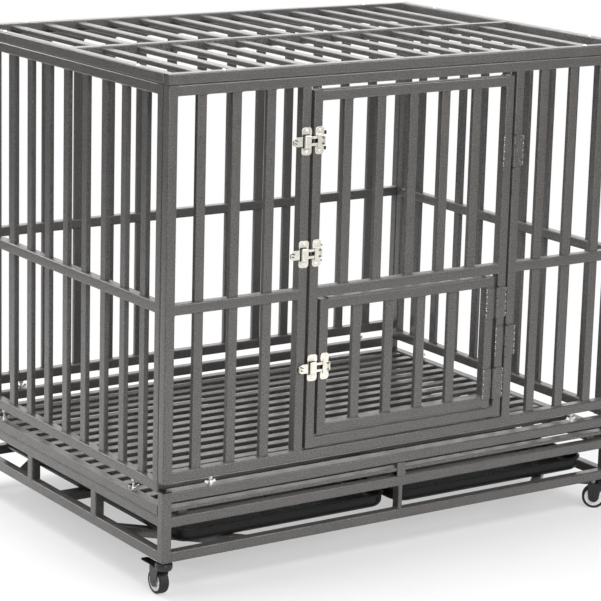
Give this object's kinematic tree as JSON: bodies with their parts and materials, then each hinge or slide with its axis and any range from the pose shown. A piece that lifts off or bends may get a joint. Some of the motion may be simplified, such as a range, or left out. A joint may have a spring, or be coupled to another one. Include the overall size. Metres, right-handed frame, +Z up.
{
  "type": "heavy_duty_dog_crate",
  "caption": "Heavy-duty steel tube dog crate on locking casters, with a hinged front door, a feeding door in it, slide latches, a slat floor and pull-out trays",
  "frame": {"origin": "middle of the bounding box in X and Y, at the underside of the wheels", "axes": "+X to the right seen from the front, along the long side; the doors and the trays face -Y; +Z up"},
  "size_m": [1.0864, 0.7822, 0.97],
  "materials": {
    "frame_paint": "dark silver-brown hammered enamel on steel tube, semi-gloss",
    "nickel": "bright nickel plate on steel",
    "zinc": "zinc-plated pressed steel",
    "black_plastic": "near-black moulded plastic, semi-gloss",
    "grey_plastic": "off-white moulded nylon",
    "rubber": "black rubber tread, matt"
  },
  "bodies": {
    "cage": {"base_frame": "frame_paint", "floor_grate": "frame_paint", "front_panel": "frame_paint", "back_panel": "frame_paint", "left_panel": "frame_paint", "right_panel": "frame_paint", "roof_panel": "frame_paint", "main_hinge_upper_frame_leaf": "frame_paint", "main_hinge_upper_pin": "zinc", "latch_upper_catch": "nickel", "main_hinge_lower_frame_leaf": "frame_paint", "main_hinge_lower_pin": "zinc", "latch_lower_catch": "nickel", "spacer_back_left": "zinc", "spacer_back_right": "zinc", "spacer_front_left": "zinc", "spacer_front_right": "zinc", "spacer_side_back_left": "zinc", "spacer_side_back_right": "zinc", "spacer_side_front_left": "zinc", "spacer_side_front_right": "zinc", "caster_front_left_mount": "zinc", "caster_front_right_mount": "zinc", "caster_back_left_mount": "zinc", "caster_back_right_mount": "zinc"},
    "main_door_leaf": {"main_door": "frame_paint", "main_hinge_upper_door_leaf": "frame_paint", "latch_upper_guide": "nickel", "feed_hinge_upper_frame_leaf": "frame_paint", "feed_hinge_upper_pin": "zinc", "main_hinge_lower_door_leaf": "frame_paint", "latch_lower_guide": "nickel", "feed_hinge_lower_frame_leaf": "frame_paint", "feed_hinge_lower_pin": "zinc", "latch_feed_catch": "nickel"},
    "feed_door_leaf": {"feed_door": "frame_paint", "feed_hinge_upper_door_leaf": "frame_paint", "feed_hinge_lower_door_leaf": "frame_paint", "latch_feed_guide": "nickel"},
    "bolt_upper": {"latch_upper_bolt": "nickel"},
    "bolt_lower": {"latch_lower_bolt": "nickel"},
    "bolt_feed": {"latch_feed_bolt": "nickel"},
    "left_tray_pan": {"left_tray": "black_plastic"},
    "right_tray_pan": {"right_tray": "black_plastic"},
    "fork_front_left": {"caster_front_left_fork": "zinc"},
    "wheel_front_left": {"caster_front_left_hub": "grey_plastic", "caster_front_left_tyre": "rubber"},
    "fork_front_right": {"caster_front_right_fork": "zinc"},
    "wheel_front_right": {"caster_front_right_hub": "grey_plastic", "caster_front_right_tyre": "rubber"},
    "fork_back_left": {"caster_back_left_fork": "zinc"},
    "wheel_back_left": {"caster_back_left_hub": "grey_plastic", "caster_back_left_tyre": "rubber"},
    "fork_back_right": {"caster_back_right_fork": "zinc"},
    "wheel_back_right": {"caster_back_right_hub": "grey_plastic", "caster_back_right_tyre": "rubber"},
    "pedal_front_left": {"caster_front_left_pedal": "black_plastic"},
    "pedal_front_right": {"caster_front_right_pedal": "black_plastic"}
  },
  "joints": [
    {"name": "main_door_hinge", "type": "hinge", "parent": "cage", "child": "main_door_leaf", "pos_m": [0.24125, -0.38595, 0.58], "axis": [0, 0, 1], "range_deg": [0, 100]},
    {"name": "feed_door_hinge", "type": "hinge", "parent": "main_door_leaf", "child": "feed_door_leaf", "pos_m": [0.215, -0.38595, 0.393], "axis": [0, 0, 1], "range_deg": [0, 70]},
    {"name": "upper_bolt_slide", "type": "slide", "parent": "main_door_leaf", "child": "bolt_upper", "axis": [-1, 0, 0], "range_m": [0, 0.0045]},
    {"name": "lower_bolt_slide", "type": "slide", "parent": "main_door_leaf", "child": "bolt_lower", "axis": [-1, 0, 0], "range_m": [0, 0.0045]},
    {"name": "feed_bolt_slide", "type": "slide", "parent": "feed_door_leaf", "child": "bolt_feed", "axis": [-1, 0, 0], "range_m": [0, 0.0045]},
    {"name": "left_tray_slide", "type": "slide", "parent": "cage", "child": "left_tray_pan", "axis": [0, -1, 0], "range_m": [0, 0.6]},
    {"name": "right_tray_slide", "type": "slide", "parent": "cage", "child": "right_tray_pan", "axis": [0, -1, 0], "range_m": [0, 0.6]},
    {"name": "front_left_swivel", "type": "hinge", "parent": "cage", "child": "fork_front_left", "pos_m": [-0.53, -0.37155, 0.055], "axis": [0, 0, 1], "continuous": true},
    {"name": "front_left_axle", "type": "hinge", "parent": "fork_front_left", "child": "wheel_front_left", "pos_m": [-0.53, -0.35355, 0.024], "axis": [1, 0, 0], "continuous": true},
    {"name": "front_right_swivel", "type": "hinge", "parent": "cage", "child": "fork_front_right", "pos_m": [0.53, -0.37155, 0.055], "axis": [0, 0, 1], "continuous": true},
    {"name": "front_right_axle", "type": "hinge", "parent": "fork_front_right", "child": "wheel_front_right", "pos_m": [0.5165, -0.35965, 0.024], "axis": [0.6613, 0.7501, 0], "continuous": true},
    {"name": "back_left_swivel", "type": "hinge", "parent": "cage", "child": "fork_back_left", "pos_m": [-0.53, 0.37845, 0.055], "axis": [0, 0, 1], "continuous": true},
    {"name": "back_left_axle", "type": "hinge", "parent": "fork_back_left", "child": "wheel_back_left", "pos_m": [-0.53, 0.36045, 0.024], "axis": [1, 0, 0], "continuous": true},
    {"name": "back_right_swivel", "type": "hinge", "parent": "cage", "child": "fork_back_right", "pos_m": [0.53, 0.37845, 0.055], "axis": [0, 0, 1], "continuous": true},
    {"name": "back_right_axle", "type": "hinge", "parent": "fork_back_right", "child": "wheel_back_right", "pos_m": [0.53, 0.36045, 0.024], "axis": [1, 0, 0], "continuous": true},
    {"name": "front_left_brake", "type": "hinge", "parent": "fork_front_left", "child": "pedal_front_left", "pos_m": [-0.53, -0.34355, 0.05], "axis": [-1, 0, 0], "range_deg": [0, 15]},
    {"name": "front_right_brake", "type": "hinge", "parent": "fork_front_right", "child": "pedal_front_right", "pos_m": [0.509, -0.35303, 0.05], "axis": [-0.6613, -0.7501, 0], "range_deg": [0, 15]}
  ]
}
